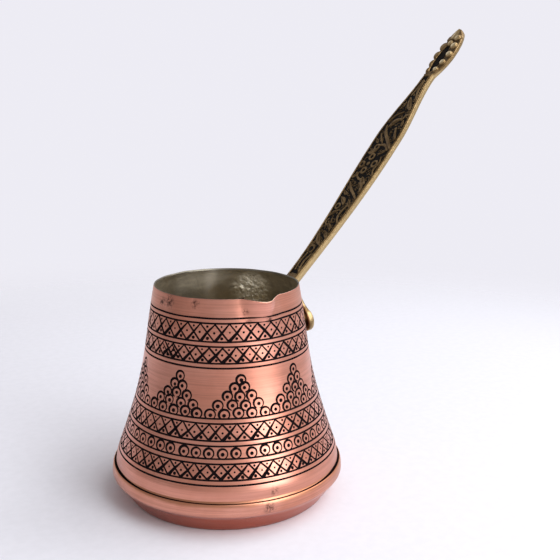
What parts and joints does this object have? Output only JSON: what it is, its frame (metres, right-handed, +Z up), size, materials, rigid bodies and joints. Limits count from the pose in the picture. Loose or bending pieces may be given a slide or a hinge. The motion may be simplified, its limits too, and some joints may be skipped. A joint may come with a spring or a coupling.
{
  "type": "turkish coffee pot cezve",
  "caption": "Engraved copper coffee pot with a flared body, tinned inside, a pinched pouring lip and a riveted cast brass handle with enamelled relief.",
  "frame": {"origin": "centre of the base pan's underside, on the pot's axis", "axes": "+Z up along the pot's axis; +X towards the handle; the pouring lip is on the -Y side"},
  "size_m": [0.1589, 0.09, 0.1798],
  "materials": {
    "copper_body": "satin brushed copper with blackened engraving",
    "copper_base": "satin polished copper",
    "solder": "dull grey solder",
    "tin": "wiped tin, dull olive grey",
    "cast_brass": "antiqued cast brass",
    "black_enamel": "glossy black enamel",
    "rivet_brass": "hammered"
  },
  "bodies": {
    "root": {"upper_body": "copper_body", "base_pan": "copper_base", "seam_solder": "solder", "tin_lining": "tin", "handle": "cast_brass", "enamel_fill": "black_enamel", "rivet_left": "rivet_brass", "rivet_right": "rivet_brass", "rivet_top": "rivet_brass"}
  },
  "joints": []
}
